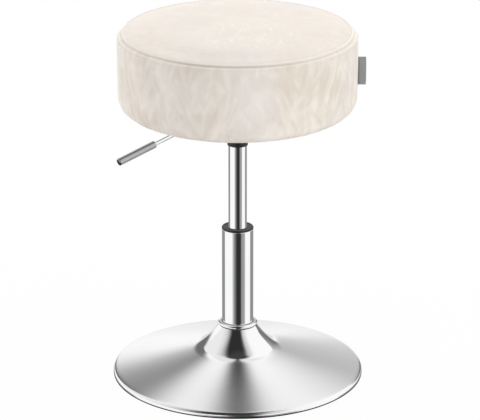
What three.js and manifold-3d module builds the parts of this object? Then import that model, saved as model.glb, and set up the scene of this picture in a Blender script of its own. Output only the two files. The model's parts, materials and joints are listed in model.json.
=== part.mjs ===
// Round upholstered swivel stool on a gas-lift column and a trumpet base.
// Millimetres, +Z up, origin on the floor under the middle of the column.
// The seat is shown at the top of its travel, as the gas spring leaves it.

import * as THREE from 'three';
import { mergeVertices } from 'three/addons/utils/BufferGeometryUtils.js';
import Module from 'manifold-3d';

const wasm = await Module();
wasm.setup();

// Fits and facets
const fitGap = 0.3;
const runningGap = 0.35;
const cutOverrun = 2;
const wideSides = 48;
const seatSides = 40;
const tubeSides = 32;
const smallSides = 16;
const fastenerSides = 10;
const hexSides = 6;
const ballRings = 5;
const leverSteps = 16;
const dishSteps = 2;
const bendSteps = 3;
const rollSteps = 4;
const sweepSteps = 5;

// Trumpet base, spun from one steel sheet
const baseRadius = 192.5;
const shellSheet = 1.8;
const rimRollRadius = 6;
const rimLipHeight = 1.1;
const dishSlope = 0.2607;
const creaseRadius = 62.5;
const neckTopHeight = 77;
const neckBendRadius = 42;
const neckBendRise = 14.4;

// Rubber trim under the rim
const trimSole = 1.7;
const trimSoleWidth = 5.5;
const trimLegWidth = 2.3;
const trimLegHeight = 2.9;
const rimSetBack = 0.2;

// Cover ring at the foot of the column
const coverRingWidth = 6;
const coverRingEdge = 1.9;
const coverRingHeight = 5.9;
const coverRingLand = 0.9;

// Outer column, with a tapered foot and a pierced bottom web
const columnDiameter = 48;
const columnWall = 1.5;
const columnLength = 218.1;
const columnSeating = 61;
const columnTaperLength = 68;
const columnTaper = 1;
const columnWeb = 2.5;
const columnLip = 0.5;

// Socket tube welded inside the base, and the pressed brace under it
const baseSocketWall = 2.2;
const baseSocketLength = 62.2;
const braceSheet = 2.2;
const braceBoreRadius = 17;
const braceFlatRadius = 30;
const braceFlangeInner = 112;
const braceFlangeOuter = 124;
const braceHoleCount = 6;
const braceHoleRadius = 14;
const braceHoleCircle = 70;

// Guide bush pressed into the top of the column
const bushFlangeHeight = 3;
const bushFlangeOverhang = 0.3;
const bushFlangeRound = 1.6;
const bushLength = 62;
const bushWall = 2.6;
const bushRibCount = 8;
const bushRibWidth = 3;
const bushLandLength = 7;

// Thrust bearing on the column's web
const washerOuterRadius = 14;
const washerThickness = 1.5;
const raceDepth = 0.4;
const ballDiameter = 4.5;
const ballCount = 8;
const ballCircleRadius = 9.8;
const cageThickness = 1.4;
const cageWidth = 7;

// Piston rod, its clip and its piston
const rodDiameter = 10;
const rodEndDiameter = 8;
const rodEndDrop = 7;
const clipGrooveDepth = 0.9;
const clipThickness = 1.2;
const clipOuterRadius = 7.6;
const clipMouth = 5.6;
const clipWasherRadius = 9.5;
const clipWasherThickness = 1.8;
const pistonHeight = 8;
const pistonGrooveDepth = 1;
const pistonGrooveHeight = 2.4;
const rodSpigotDiameter = 7;
const rodHeadDiameter = 11;
const rodHeadHeight = 2;

// Rubber stop on the rod
const bumpHeight = 10;
const bumpRadius = 13;
const bumpWaist = 2;

// Gas cylinder
const stroke = 120;
const strokeReserve = 5;
const cylinderDiameter = 28;
const cylinderWall = 1.8;
const cylinderShowing = 131.4;
const cylinderLip = 1.8;
const cylinderEdge = 0.8;
const cylinderTaper = 1.1;
const cylinderTaperLength = 30.2;
const cylinderHead = 11;
const glandHeight = 5.8;
const glandToPiston = 1.1;

// Valve pin on top of the cylinder
const pinDiameter = 6;
const pinShowing = 6;
const pinTail = 3;
const pinEdge = 0.6;

// Tapered socket welded into the mechanism plate
const seatSocketRadius = 15.6;
const seatSocketLength = 35.2;
const seatSocketStraight = 3.2;
const seatSocketBelowPan = 27.2;

// Mechanism plate, one pressing with a drawn pan
const plateSheet = 2.5;
const plateLength = 156;
const plateWidth = 116;
const plateCorner = 12;
const panLength = 79;
const panWidth = 49;
const panDepth = 27.4;
const panCorner = 7;
const panDraft = 1.5;
const boltInset = 14;
const boltHoleRadius = 3.6;

// Release lever and its pivot pin
const leverAzimuth = 215;
const leverPivotReach = 32;
const leverDiameter = 6;
const leverTongueHeight = 7.4;
const leverTongueThickness = 5;
const leverTongueTail = 9;
const leverTongueNose = 14;
const leverStraightReach = 92;
const leverTipReach = 214.6;
const leverTipDrop = 30.8;
const leverBendRadius = 60;
const gripLength = 66;
const gripDiameter = 11;
const gripEndWall = 5;
const gripEdge = 1.2;
const leverSlotWidth = 9;
const leverSlotHeight = 11;
const pivotDiameter = 5;
const pivotHeadDiameter = 8.4;
const pivotHeadHeight = 1.5;

// Seat board and its fasteners
const boardInset = 22.8;
const boardThickness = 12;
const boltDiameter = 6;
const boltHeadAcross = 10;
const boltHeadHeight = 4;
const boltTipMargin = 2;
const lockWasherRadius = 6.2;
const lockWasherThickness = 1.6;
const teeFlangeRadius = 9.5;
const teeFlangeThickness = 1.2;
const teeBarrelRadius = 4.4;
const teeBarrelLength = 9;

// Upholstery
const coverCloth = 2.5;
const seatRadius = 180.8;
const seatCornerWidth = 22.4;
const seatCornerHeight = 26;
const bandHeight = 122.5;
const sideDrawIn = 1.3;
const hemReach = 18;
const weltDiameter = 3.8;
const crownRise = 11;
const shoulderWidth = 30.8;
const shoulderRise = 8.6;
const seamInset = 1.1;
const dustClothThickness = 0.8;
const dustClothOverlap = 9;
const dustStepWidth = 5;

// Folded fabric tab sewn into the side seam
const tabLength = 12;
const tabHeight = 43;
const tabDrop = 39.5;
const tabLayer = 0.7;
const tabFoldGap = 0.7;

// Points of the outlines, as shares of the sizes that they follow
const shoulderControlShares = [0.2, 0.52, 0.55, 0.94];
const crownControlShare = 0.6;
const bumpWaistShare = 0.5;
const glandGrooveShares = [0.3, 0.7];

// Heights and radii worked out from the sizes above
const columnRadius = columnDiameter / 2;
const columnBore = columnRadius - columnWall;
const columnBottom = neckTopHeight - columnSeating;
const columnTop = columnBottom + columnLength;
const columnTaperTop = columnBottom + columnTaperLength;
const rodRadius = rodDiameter / 2;
const rodEndRadius = rodEndDiameter / 2;
const cylinderRadius = cylinderDiameter / 2;
const cylinderBore = cylinderRadius - cylinderWall;
const ballRadius = ballDiameter / 2;
const webTop = columnBottom + columnWeb;
const lowerWasherBottom = webTop + fitGap;
const lowerWasherTop = lowerWasherBottom + washerThickness;
const ballHeight = lowerWasherTop - raceDepth + fitGap + ballRadius;
const upperWasherBottom = ballHeight + ballRadius + fitGap - raceDepth;
const upperWasherTop = upperWasherBottom + washerThickness;
const rodShoulder = upperWasherTop + fitGap;
const clipWasherTop = columnBottom - fitGap;
const clipTop = clipWasherTop - clipWasherThickness - fitGap;
const clipBottom = clipTop - clipThickness;
const grooveRadius = rodEndRadius - clipGrooveDepth;
const bumpTop = rodShoulder + bumpHeight;
const cylinderBottom = bumpTop + strokeReserve + stroke;
const glandBottom = cylinderBottom + cylinderLip + fitGap;
const pistonBottom = glandBottom + glandHeight + glandToPiston;
const pistonTop = pistonBottom + pistonHeight;
const bushTop = columnTop + fitGap + bushFlangeHeight;
const seatSocketBottom = bushTop + cylinderShowing;
const seatSocketTop = seatSocketBottom + seatSocketLength;
const taperStart = seatSocketBottom + seatSocketStraight;
const cylinderTop = taperStart + cylinderTaperLength + cylinderEdge;
const pinTop = cylinderTop + pinShowing;
const panBottom = seatSocketBottom + seatSocketBelowPan;
const plateBottom = panBottom + panDepth;
const plateTop = plateBottom + plateSheet;
const leverHeight = pinTop + fitGap + leverTongueHeight / 2;
const leverSlopeAngle = Math.atan(leverTipDrop / (leverTipReach - leverStraightReach));
const lockWasherTop = plateBottom - fitGap;
const boltHeadTop = lockWasherTop - lockWasherThickness - fitGap;
const dustClothBottom = plateTop + fitGap;
const boardBottom = dustClothBottom + dustClothThickness + fitGap;
const boardTop = boardBottom + boardThickness;
const boardRadius = seatRadius - boardInset;
const teeFlangeBottom = boardTop - teeFlangeThickness;
const seatBottom = boardBottom - fitGap - coverCloth;
const seamHeight = seatBottom + bandHeight;
const shoulderRadius = seatRadius - shoulderWidth;
const weltRadius = weltDiameter / 2;
const bandTop = seamHeight - weltRadius - fitGap;
const crownEdge = seamHeight + weltRadius + fitGap;
const rimRadius = baseRadius - rimSetBack;
const rimBottom = trimSole + fitGap;
const dishAngle = Math.atan(dishSlope);
const rollCentre = new THREE.Vector2(rimRadius - rimRollRadius, rimBottom + rimLipHeight);
const baseSocketTop = neckTopHeight - fitGap;
const baseSocketBottom = baseSocketTop - baseSocketLength;

// Places spread evenly on a circle, the first of them on +X
function circlePlaces(count, radius) {
  const angles = Array.from({ length: count }, (_, i) => (i * 2 * Math.PI) / count);
  return angles.map((angle) => [radius * Math.cos(angle), radius * Math.sin(angle)]);
}

const ballPlaces = circlePlaces(ballCount, ballCircleRadius);

// The four bolts stand one inset in from the plate's edges
const boltReach = plateLength / 2 - boltInset;
const boltAside = plateWidth / 2 - boltInset;
const boltPlaces = [
  [-boltReach, -boltAside],
  [boltReach, -boltAside],
  [boltReach, boltAside],
  [-boltReach, boltAside],
];

// Materials
const finishes = {
  chrome: { color: 0xd9dadb, roughness: 0.08, metalness: 1 },
  satinChrome: { color: 0xcfd0d1, roughness: 0.22, metalness: 1 },
  blackPlastic: { color: 0x191a1b, roughness: 0.45, metalness: 0 },
  rubber: { color: 0x121212, roughness: 0.8, metalness: 0 },
  bareSteel: { color: 0x9a9c9e, roughness: 0.35, metalness: 1 },
  paintedSteel: { color: 0x1b1b1c, roughness: 0.4, metalness: 0.4 },
  zincSteel: { color: 0xb4b6b4, roughness: 0.3, metalness: 1 },
  plywood: { color: 0xc29c6b, roughness: 0.8, metalness: 0 },
  foam: { color: 0xe9dfc4, roughness: 0.95, metalness: 0 },
  velvet: { color: 0xe9ded4, roughness: 0.9, metalness: 0 },
  dustCloth: { color: 0x17181a, roughness: 0.95, metalness: 0 },
  greyTab: { color: 0x8f9092, roughness: 0.85, metalness: 0 },
};

const point = (radius, height) => new THREE.Vector2(radius, height);

// Vertices that lie together are made one, and triangles without area go.
function closeUp(geometry) {
  geometry.deleteAttribute('normal');
  geometry.deleteAttribute('uv');
  const merged = mergeVertices(geometry);
  const corners = merged.index.array;
  const kept = [];
  for (let i = 0; i < corners.length; i += 3) {
    const [a, b, c] = corners.slice(i, i + 3);
    if (a !== b && b !== c && c !== a) kept.push(a, b, c);
  }
  merged.setIndex(kept);
  return merged;
}

// A turned piece: the profile starts and ends on the axis or is closed on itself.
function turned(profile, sides) {
  const line = profile.map((p) => p.clone());
  const onAxis = line[0].x === 0 && line[line.length - 1].x === 0;
  if (THREE.ShapeUtils.isClockWise(line)) line.reverse();
  if (!onAxis) line.push(line[0].clone());
  return closeUp(new THREE.LatheGeometry(line, sides).rotateX(Math.PI / 2));
}

// The line that lies one distance to the left of another, corner by corner.
function offsetLine(line, distance) {
  return line.map((p, i) => {
    const before = line[Math.max(i - 1, 0)];
    const after = line[Math.min(i + 1, line.length - 1)];
    const along = after.clone().sub(before).normalize();
    return point(p.x - along.y * distance, p.y + along.x * distance);
  });
}

// The closed outline of a sheet whose outer face follows a line.
function sheetOutline(line, thickness) {
  return [...line, ...offsetLine(line, thickness).reverse()];
}

function arcPoints(centre, radiusX, radiusY, fromAngle, toAngle, steps) {
  const points = [];
  for (let i = 0; i <= steps; i += 1) {
    const angle = fromAngle + ((toAngle - fromAngle) * i) / steps;
    points.push(point(centre.x + radiusX * Math.cos(angle), centre.y + radiusY * Math.sin(angle)));
  }
  return points;
}

function toSolid(geometry) {
  const closed = closeUp(geometry);
  const vertProperties = new Float32Array(closed.attributes.position.array);
  const triVerts = new Uint32Array(closed.index.array);
  return new wasm.Manifold(new wasm.Mesh({ numProp: 3, vertProperties, triVerts }));
}

function fromSolid(solid) {
  const mesh = solid.getMesh();
  const geometry = new THREE.BufferGeometry();
  geometry.setAttribute('position', new THREE.BufferAttribute(mesh.vertProperties, 3));
  geometry.setIndex(new THREE.BufferAttribute(mesh.triVerts, 1));
  return geometry;
}

// A geometry with others cut out of it.
function cut(geometry, tools) {
  return fromSolid(tools.reduce((solid, tool) => solid.subtract(toSolid(tool)), toSolid(geometry)));
}

function join(geometries) {
  const [first, ...rest] = geometries.map(toSolid);
  return fromSolid(rest.reduce((solid, other) => solid.add(other), first));
}

// An upright cylinder from one height to another.
function post(radius, bottom, top, sides) {
  return turned([point(0, bottom), point(radius, bottom), point(radius, top), point(0, top)], sides);
}

// A washer or tube with square edges.
function ringOf(innerRadius, outerRadius, bottom, top, sides) {
  const profile = [
    point(innerRadius, bottom),
    point(outerRadius, bottom),
    point(outerRadius, top),
    point(innerRadius, top),
  ];
  return turned(profile, sides);
}

// The radius of a faceted bore that a round piece of some radius turns in.
const boreFor = (radius, gap, sides) => (radius + gap) / Math.cos(Math.PI / sides);

function roundedRectangle(length, width, corner) {
  const x = length / 2;
  const y = width / 2;
  const shape = new THREE.Shape();
  shape.moveTo(x, y - corner);
  shape.absarc(x - corner, y - corner, corner, 0, Math.PI / 2, false);
  shape.absarc(corner - x, y - corner, corner, Math.PI / 2, Math.PI, false);
  shape.absarc(corner - x, corner - y, corner, Math.PI, Math.PI * 1.5, false);
  shape.absarc(x - corner, corner - y, corner, Math.PI * 1.5, Math.PI * 2, false);
  return shape;
}

function prism(shape, bottom, top) {
  const options = { depth: top - bottom, bevelEnabled: false, curveSegments: bendSteps };
  return new THREE.ExtrudeGeometry(shape, options).translate(0, 0, bottom);
}

// A drawn pan's block: it widens towards the top by its draft on each side.
function draftedBlock(length, width, corner, draft, bottom, top) {
  const geometry = prism(roundedRectangle(length, width, corner), bottom, top);
  const places = geometry.attributes.position;
  for (let i = 0; i < places.count; i += 1) {
    const share = (top - places.getZ(i)) / (top - bottom);
    places.setX(i, places.getX(i) * (1 - (2 * draft * share) / length));
    places.setY(i, places.getY(i) * (1 - (2 * draft * share) / width));
  }
  return geometry;
}

function part(name, geometry, finish) {
  const mesh = new THREE.Mesh(geometry, new THREE.MeshStandardMaterial(finishes[finish]));
  mesh.name = name;
  return mesh;
}

// The outer face of the base: lip, rolled rim, shallow dish, then the steep neck.
function baseFaceLine() {
  const rollEnd = Math.PI / 2 - dishAngle;
  const roll = arcPoints(rollCentre, rimRollRadius, rimRollRadius, 0, rollEnd, bendSteps);
  const dishEnd = roll[roll.length - 1];
  const crease = point(creaseRadius, dishFaceHeight(creaseRadius));
  const bend = point(neckBendRadius, crease.y + neckBendRise);
  const neck = new THREE.QuadraticBezierCurve(crease, bend, point(neckTopRadius(), neckTopHeight));
  const dish = new THREE.LineCurve(dishEnd, crease).getPoints(dishSteps).slice(1, -1);
  return [point(rimRadius, rimBottom), ...roll, ...dish, ...neck.getPoints(sweepSteps)];
}

// The height of the dish's outer face at a radius.
function dishFaceHeight(radius) {
  const rollTopRadius = rollCentre.x + rimRollRadius * Math.sin(dishAngle);
  const rollTopHeight = rollCentre.y + rimRollRadius * Math.cos(dishAngle);
  return rollTopHeight + (rollTopRadius - radius) * dishSlope;
}

// The column's outer radius at a height in its tapered foot.
function columnFootRadius(height) {
  const share = (height - columnBottom) / (columnTaperTop - columnBottom);
  return columnRadius - columnTaper * (1 - Math.min(share, 1));
}

function baseSocketRadius() {
  return columnFootRadius(baseSocketTop) + fitGap + baseSocketWall;
}

function neckTopRadius() {
  return baseSocketRadius() + fitGap + shellSheet;
}

function baseShell() {
  return turned(sheetOutline(baseFaceLine(), shellSheet), wideSides);
}

function baseRimRubber() {
  const inner = baseRadius - trimSoleWidth;
  const leg = inner + trimLegWidth;
  const profile = [
    point(inner, 0),
    point(baseRadius, 0),
    point(baseRadius, trimSole),
    point(leg, trimSole),
    point(leg, trimSole + trimLegHeight),
    point(inner, trimSole + trimLegHeight),
  ];
  return turned(profile, wideSides);
}

function baseCoverRing() {
  const inner = columnRadius + fitGap;
  const outer = inner + coverRingWidth;
  const bottom = neckTopHeight + fitGap;
  const edgeTop = bottom + coverRingEdge;
  const rise = coverRingHeight - coverRingEdge;
  const dome = arcPoints(
    point(inner + coverRingLand, edgeTop),
    coverRingWidth - coverRingLand,
    rise,
    0,
    Math.PI / 2,
    rollSteps,
  );
  const innerTop = point(inner, edgeTop + rise);
  return turned([point(inner, bottom), point(outer, bottom), ...dome, innerTop], tubeSides);
}

function baseSocket() {
  const outer = baseSocketRadius();
  const profile = [
    point(columnFootRadius(baseSocketBottom) + fitGap, baseSocketBottom),
    point(outer, baseSocketBottom),
    point(outer, baseSocketTop),
    point(columnFootRadius(baseSocketTop) + fitGap, baseSocketTop),
  ];
  return turned(profile, tubeSides);
}

// A pressed cone from under the socket out to the underside of the dish.
function baseBrace() {
  const flatTop = baseSocketBottom - fitGap;
  const underDish = (radius) => dishFaceHeight(radius) - (shellSheet + fitGap) / Math.cos(dishAngle);
  const upperLine = [
    point(braceFlangeOuter, underDish(braceFlangeOuter)),
    point(braceFlangeInner, underDish(braceFlangeInner)),
    point(braceFlatRadius, flatTop),
    point(braceBoreRadius, flatTop),
  ];
  const cone = turned(sheetOutline(upperLine, braceSheet), wideSides);
  const holes = circlePlaces(braceHoleCount, braceHoleCircle).map(([x, y]) => (
    post(braceHoleRadius, 0, neckTopHeight, fastenerSides).translate(x, y, 0)
  ));
  return cut(cone, holes);
}

function column() {
  const rodHole = boreFor(rodEndRadius, runningGap, tubeSides);
  const profile = [
    point(rodHole, columnBottom),
    point(columnRadius - columnTaper, columnBottom),
    point(columnRadius, columnTaperTop),
    point(columnRadius, columnTop - columnLip),
    point(columnRadius - columnLip, columnTop),
    point(columnBore, columnTop),
    point(columnBore, columnTaperTop),
    point(columnBore - columnTaper, webTop),
    point(rodHole, webTop),
  ];
  return turned(profile, tubeSides);
}

// A flanged sleeve with ribs that centre it in the column.
function guideBush() {
  const bore = boreFor(cylinderRadius, runningGap, tubeSides);
  const wallRadius = bore + bushWall;
  const outer = columnBore - fitGap;
  const flangeBottom = columnTop + fitGap;
  const flangeRadius = columnRadius + bushFlangeOverhang;
  const landBottom = flangeBottom - bushLandLength;
  const bottom = flangeBottom - bushLength;
  const rounded = arcPoints(
    point(flangeRadius - bushFlangeRound, bushTop - bushFlangeRound),
    bushFlangeRound,
    bushFlangeRound,
    0,
    Math.PI / 2,
    bendSteps,
  );
  const sleeve = turned([
    point(bore, bottom),
    point(outer, bottom),
    point(outer, bottom + bushLandLength),
    point(wallRadius, bottom + bushLandLength),
    point(wallRadius, landBottom),
    point(outer, landBottom),
    point(outer, flangeBottom),
    point(flangeRadius, flangeBottom),
    ...rounded,
    point(bore, bushTop),
  ], tubeSides);
  const ribInner = bore + bushWall / 2;
  const ribOuter = outer - fitGap;
  const ribLength = landBottom - bottom - bushLandLength / 2;
  const ribs = Array.from({ length: bushRibCount }, (_, i) => new THREE.BoxGeometry(
    ribOuter - ribInner,
    bushRibWidth,
    ribLength,
  )
    .translate((ribInner + ribOuter) / 2, 0, landBottom + bushLandLength / 4 - ribLength / 2)
    .rotateZ((i * 2 * Math.PI) / bushRibCount));
  return join([sleeve, ...ribs]);
}

// A bearing washer; its ball race is a shallow groove in the face towards the balls.
function bearingWasher(bottom, raceOnTop) {
  const innerRadius = rodEndRadius + fitGap;
  const top = bottom + washerThickness;
  const raceHalf = ballRadius / 2;
  const face = raceOnTop ? top : bottom;
  const floor = raceOnTop ? top - raceDepth : bottom + raceDepth;
  const race = [
    point(ballCircleRadius + ballRadius, face),
    point(ballCircleRadius + raceHalf, floor),
    point(ballCircleRadius - raceHalf, floor),
    point(ballCircleRadius - ballRadius, face),
  ];
  if (raceOnTop) {
    return turned([
      point(innerRadius, bottom),
      point(washerOuterRadius, bottom),
      point(washerOuterRadius, top),
      ...race,
      point(innerRadius, top),
    ], smallSides);
  }
  return turned([
    point(innerRadius, bottom),
    ...race.reverse(),
    point(washerOuterRadius, bottom),
    point(washerOuterRadius, top),
    point(innerRadius, top),
  ], smallSides);
}

function bearingCage() {
  const half = cageWidth / 2;
  const low = ballHeight - cageThickness / 2;
  const high = low + cageThickness;
  const ring = ringOf(ballCircleRadius - half, ballCircleRadius + half, low, high, smallSides);
  const pocket = boreFor(ballRadius, fitGap, fastenerSides);
  const pockets = ballPlaces.map(([x, y]) => (
    post(pocket, low - cutOverrun, high + cutOverrun, fastenerSides).translate(x, y, 0)
  ));
  return cut(ring, pockets);
}

function bearingBall([x, y]) {
  const ball = new THREE.SphereGeometry(ballRadius, ballCount, ballRings).rotateX(Math.PI / 2);
  return closeUp(ball.translate(x, y, ballHeight));
}

function gasRod() {
  const spigot = rodSpigotDiameter / 2;
  const end = columnBottom - rodEndDrop;
  const headBottom = pistonTop + fitGap;
  return turned([
    point(0, end),
    point(rodEndRadius - clipGrooveDepth, end),
    point(rodEndRadius, end + clipGrooveDepth),
    point(rodEndRadius, clipBottom - fitGap),
    point(grooveRadius, clipBottom - fitGap),
    point(grooveRadius, clipTop + fitGap),
    point(rodEndRadius, clipTop + fitGap),
    point(rodEndRadius, rodShoulder),
    point(rodRadius, rodShoulder),
    point(rodRadius, pistonBottom - fitGap),
    point(spigot, pistonBottom - fitGap),
    point(spigot, headBottom),
    point(rodHeadDiameter / 2, headBottom),
    point(rodHeadDiameter / 2, headBottom + rodHeadHeight),
    point(0, headBottom + rodHeadHeight),
  ], smallSides);
}

// The clip is an open ring that snaps into the rod's groove from the side.
function rodClip() {
  const ring = ringOf(grooveRadius + fitGap, clipOuterRadius, clipBottom, clipTop, smallSides);
  const reach = clipOuterRadius + cutOverrun;
  const mouth = new THREE.BoxGeometry(reach, clipMouth, clipThickness + 2 * cutOverrun);
  return cut(ring, [mouth.translate(reach / 2, 0, (clipBottom + clipTop) / 2)]);
}

function rodClipWasher() {
  const bore = rodEndRadius + fitGap;
  return ringOf(bore, clipWasherRadius, clipWasherTop - clipWasherThickness, clipWasherTop, smallSides);
}

function gasPiston() {
  const outer = cylinderBore - runningGap;
  const grooveLow = pistonBottom + (pistonHeight - pistonGrooveHeight) / 2;
  const bore = rodSpigotDiameter / 2 + fitGap;
  return turned([
    point(bore, pistonBottom),
    point(outer, pistonBottom),
    point(outer, grooveLow),
    point(outer - pistonGrooveDepth, grooveLow),
    point(outer - pistonGrooveDepth, grooveLow + pistonGrooveHeight),
    point(outer, grooveLow + pistonGrooveHeight),
    point(outer, pistonTop),
    point(bore, pistonTop),
  ], smallSides);
}

function bumpStop() {
  const bore = rodRadius + fitGap;
  const bottom = rodShoulder;
  const waist = new THREE.QuadraticBezierCurve(
    point(bumpRadius, bottom),
    point(bumpRadius - 2 * bumpWaist, bottom + (bumpTop - bottom) * bumpWaistShare),
    point(bumpRadius, bumpTop),
  );
  return turned([point(bore, bottom), ...waist.getPoints(sweepSteps), point(bore, bumpTop)], smallSides);
}

// The cylinder's outer radius at its tapered top.
function cylinderTaperRadius(height) {
  const share = Math.max(0, (height - taperStart) / cylinderTaperLength);
  return cylinderRadius - cylinderTaper * share;
}

function gasCylinder() {
  const pinHole = boreFor(pinDiameter / 2, runningGap, tubeSides);
  const lipRadius = cylinderBore - cylinderLip;
  const cavityTop = cylinderTop - cylinderHead;
  const taperEnd = cylinderTop - cylinderEdge;
  const topRadius = cylinderTaperRadius(taperEnd);
  return turned([
    point(lipRadius, cylinderBottom),
    point(cylinderRadius - cylinderEdge, cylinderBottom),
    point(cylinderRadius, cylinderBottom + cylinderEdge),
    point(cylinderRadius, taperStart),
    point(topRadius, taperEnd),
    point(topRadius - cylinderEdge, cylinderTop),
    point(pinHole, cylinderTop),
    point(pinHole, cavityTop),
    point(cylinderBore - cylinderHead / 2, cavityTop),
    point(cylinderBore, cavityTop - cylinderHead / 2),
    point(cylinderBore, cylinderBottom + cylinderLip),
    point(lipRadius, cylinderBottom + cylinderLip),
  ], tubeSides);
}

function gasGland() {
  const outer = cylinderBore - fitGap;
  const bore = boreFor(rodRadius, runningGap, smallSides);
  const grooves = glandGrooveShares.map((share) => glandBottom + glandHeight * share);
  return turned([
    point(bore, glandBottom),
    point(outer, glandBottom),
    point(outer, grooves[0]),
    point(outer - pistonGrooveDepth, grooves[0]),
    point(outer - pistonGrooveDepth, grooves[1]),
    point(outer, grooves[1]),
    point(outer, glandBottom + glandHeight),
    point(bore, glandBottom + glandHeight),
  ], smallSides);
}

function valvePin() {
  const radius = pinDiameter / 2;
  return turned([
    point(0, cylinderTop - cylinderHead - pinTail),
    point(radius, cylinderTop - cylinderHead - pinTail),
    point(radius, pinTop - pinEdge),
    point(radius - pinEdge, pinTop),
    point(0, pinTop),
  ], fastenerSides);
}

function mechanismSocket() {
  return turned([
    point(cylinderRadius + fitGap, seatSocketBottom),
    point(seatSocketRadius, seatSocketBottom),
    point(seatSocketRadius, seatSocketTop),
    point(cylinderTaperRadius(seatSocketTop) + fitGap, seatSocketTop),
    point(cylinderRadius + fitGap, taperStart),
  ], tubeSides);
}

// One pressing: a flat flange, and a drawn pan that holds the socket and the lever.
function mechanismPlate() {
  const flange = prism(roundedRectangle(plateLength, plateWidth, plateCorner), plateBottom, plateTop);
  const pan = draftedBlock(panLength, panWidth, panCorner, panDraft, panBottom, plateTop);
  const inside = draftedBlock(
    panLength - 2 * plateSheet,
    panWidth - 2 * plateSheet,
    panCorner - plateSheet,
    panDraft,
    panBottom + plateSheet,
    plateTop + cutOverrun,
  );
  const socketHole = post(
    boreFor(seatSocketRadius, fitGap, tubeSides),
    panBottom - cutOverrun,
    panBottom + plateSheet + cutOverrun,
    tubeSides,
  );
  const pivotHole = post(pivotDiameter / 2 + fitGap, -panWidth, panWidth, fastenerSides)
    .rotateX(Math.PI / 2)
    .translate(leverPivotReach, 0, leverHeight);
  const slot = new THREE.BoxGeometry(panLength / 2, leverSlotWidth, leverSlotHeight)
    .translate(panLength / 2, 0, leverHeight);
  const boltHoles = boltPlaces.map(([x, y]) => post(
    boltHoleRadius,
    plateBottom - cutOverrun,
    plateTop + cutOverrun,
    fastenerSides,
  ).translate(x, y, 0));
  return cut(join([flange, pan]), [inside, socketHole, pivotHole, slot, ...boltHoles]);
}

// The pivot pin is riveted over outside both walls of the pan.
function leverPin() {
  const stem = pivotDiameter / 2;
  const head = pivotHeadDiameter / 2;
  const wall = panWidth / 2 + fitGap;
  return turned([
    point(0, -wall - pivotHeadHeight),
    point(head, -wall - pivotHeadHeight),
    point(head, -wall),
    point(stem, -wall),
    point(stem, wall),
    point(head, wall),
    point(head, wall + pivotHeadHeight),
    point(0, wall + pivotHeadHeight),
  ], fastenerSides).rotateX(Math.PI / 2).translate(leverPivotReach, 0, leverHeight);
}

// A flat tongue that carries the pivot and presses the valve, with the bent rod welded on.
function leverRod() {
  const half = leverTongueHeight / 2;
  const noseReach = leverPivotReach + leverTongueNose;
  const tongueShape = new THREE.Shape();
  tongueShape.moveTo(noseReach, -half);
  tongueShape.lineTo(noseReach, half);
  tongueShape.lineTo(-leverTongueTail + half, half);
  tongueShape.absarc(-leverTongueTail + half, 0, half, Math.PI / 2, Math.PI, false);
  tongueShape.lineTo(-leverTongueTail, -half);
  const tongue = prism(tongueShape, -leverTongueThickness / 2, leverTongueThickness / 2)
    .rotateX(Math.PI / 2)
    .translate(0, 0, leverHeight);
  const bendStart = leverStraightReach - leverBendRadius * Math.tan(leverSlopeAngle / 2);
  const rodEnd = leverTipReach - gripEndWall * Math.cos(leverSlopeAngle);
  const dropAt = (reach) => (reach - leverStraightReach) * Math.tan(leverSlopeAngle);
  const path = new THREE.CurvePath();
  const bendEnd = leverStraightReach + (leverStraightReach - bendStart) * Math.cos(leverSlopeAngle);
  const placed = (reach, drop) => new THREE.Vector3(reach, 0, leverHeight - drop);
  const rodStart = leverPivotReach + leverTongueNose / 2;
  path.add(new THREE.LineCurve3(placed(rodStart, 0), placed(bendStart, 0)));
  path.add(new THREE.QuadraticBezierCurve3(
    placed(bendStart, 0),
    placed(leverStraightReach, 0),
    placed(bendEnd, dropAt(bendEnd)),
  ));
  path.add(new THREE.LineCurve3(placed(bendEnd, dropAt(bendEnd)), placed(rodEnd, dropAt(rodEnd))));
  const section = new THREE.Shape().absarc(0, 0, leverDiameter / 2, 0, 2 * Math.PI, false);
  const sweep = { steps: leverSteps, curveSegments: sweepSteps, extrudePath: path };
  const rod = new THREE.ExtrudeGeometry(section, sweep);
  const pinHole = post(
    boreFor(pivotDiameter / 2, fitGap, fastenerSides),
    -leverTongueThickness,
    leverTongueThickness,
    fastenerSides,
  ).rotateX(Math.PI / 2).translate(leverPivotReach, 0, leverHeight);
  return cut(join([tongue, rod]), [pinHole]);
}

// A turned sleeve with a closed, eased end, pushed over the rod.
function leverGrip() {
  const outer = gripDiameter / 2;
  const bore = leverDiameter / 2 + fitGap;
  const sleeve = turned([
    point(0, 0),
    point(outer - gripEdge, 0),
    point(outer, gripEdge),
    point(outer, gripLength - gripEdge / 2),
    point(outer - gripEdge / 2, gripLength),
    point(bore, gripLength),
    point(bore, gripEndWall - fitGap),
    point(0, gripEndWall - fitGap),
  ], smallSides);
  return sleeve
    .rotateY(-Math.PI / 2 + leverSlopeAngle)
    .translate(leverTipReach, 0, leverHeight - leverTipDrop);
}

function seatBoard() {
  const disc = post(boardRadius, boardBottom, boardTop, seatSides);
  const above = boardTop + cutOverrun;
  const below = boardBottom - cutOverrun;
  const holes = boltPlaces.flatMap(([x, y]) => [
    post(teeBarrelRadius + fitGap, below, above, fastenerSides).translate(x, y, 0),
    post(teeFlangeRadius + fitGap, teeFlangeBottom - fitGap, above, fastenerSides).translate(x, y, 0),
  ]);
  return cut(disc, holes);
}

function teeNut([x, y]) {
  const bore = boltDiameter / 2 + fitGap;
  return turned([
    point(bore, boardTop - teeBarrelLength),
    point(teeBarrelRadius, boardTop - teeBarrelLength),
    point(teeBarrelRadius, teeFlangeBottom),
    point(teeFlangeRadius, teeFlangeBottom),
    point(teeFlangeRadius, boardTop),
    point(bore, boardTop),
  ], fastenerSides).translate(x, y, 0);
}

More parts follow.
